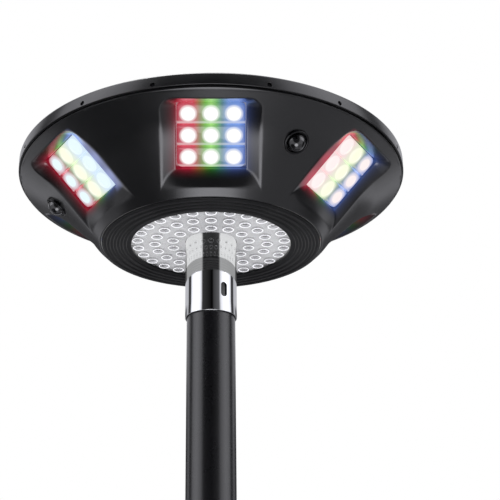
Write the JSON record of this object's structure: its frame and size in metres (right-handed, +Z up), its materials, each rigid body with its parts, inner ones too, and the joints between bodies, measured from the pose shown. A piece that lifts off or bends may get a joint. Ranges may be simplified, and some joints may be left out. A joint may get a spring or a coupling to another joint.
{
  "type": "solar lamp post",
  "caption": "Free-standing garden lamp post: round saucer-shaped solar head with side lights, motion sensors and a downlight, chrome neck, round pole and cross base.",
  "frame": {"origin": "on the floor under the middle of the cross base, on the pole's axis", "axes": "+Z up along the pole; -Y is the front, where a side light faces straight out; +X is the lamp's right as seen from the front"},
  "size_m": [0.6646, 0.6646, 3.2225],
  "materials": {
    "base_paint": "satin black powder coat on square steel tube",
    "cap_plastic": "moulded black plastic end caps",
    "bolt_steel": "black zinc-plated hexagon bolts with washers",
    "cap_screw_steel": "bright zinc-plated pan-head screws",
    "pole_paint": "satin black powder coat on round steel tube",
    "screw_black": "black oxide screws",
    "neck_chrome": "bright chrome plate",
    "socket_steel": "black painted steel, hidden inside the head",
    "shell_plastic": "satin black moulded plastic",
    "ring_plastic": "satin black moulded plastic with raised ribs",
    "panel_glass": "dark glass over blue-black solar cells",
    "board_white": "white circuit board",
    "lens_clear": "clear moulded lens plate",
    "light_lens": "milky moulded lens block, lit from inside in red, green and blue columns",
    "sensor_dome": "glossy black lens dome",
    "sensor_ring": "black moulded ring"
  },
  "bodies": {
    "root": {"base_long_bar": "base_paint", "base_half_bar_front_right": "base_paint", "base_half_bar_rear_left": "base_paint", "end_cap_rear_right": "cap_plastic", "end_cap_rear_left": "cap_plastic", "end_cap_front_left": "cap_plastic", "end_cap_front_right": "cap_plastic", "end_cap_screws": "cap_screw_steel", "base_flange": "base_paint", "flange_bolts": "bolt_steel", "pole_lower": "pole_paint", "pole_middle": "pole_paint", "pole_upper": "pole_paint", "pole_joint_screws": "screw_black", "neck_tube": "neck_chrome", "head_socket": "socket_steel", "lower_housing": "shell_plastic", "top_cover": "shell_plastic", "solar_panel": "panel_glass", "rim_screws": "screw_black", "bottom_ring": "ring_plastic", "downlight_board": "board_white", "downlight_lens": "lens_clear", "side_light_1": "light_lens", "side_light_board_1": "board_white", "side_light_2": "light_lens", "side_light_board_2": "board_white", "side_light_3": "light_lens", "side_light_board_3": "board_white", "side_light_4": "light_lens", "side_light_board_4": "board_white", "side_light_5": "light_lens", "side_light_board_5": "board_white", "side_light_6": "light_lens", "side_light_board_6": "board_white", "motion_sensor_1": "sensor_dome", "sensor_ring_1": "sensor_ring", "motion_sensor_2": "sensor_dome", "sensor_ring_2": "sensor_ring", "motion_sensor_3": "sensor_dome", "sensor_ring_3": "sensor_ring"}
  },
  "joints": []
}
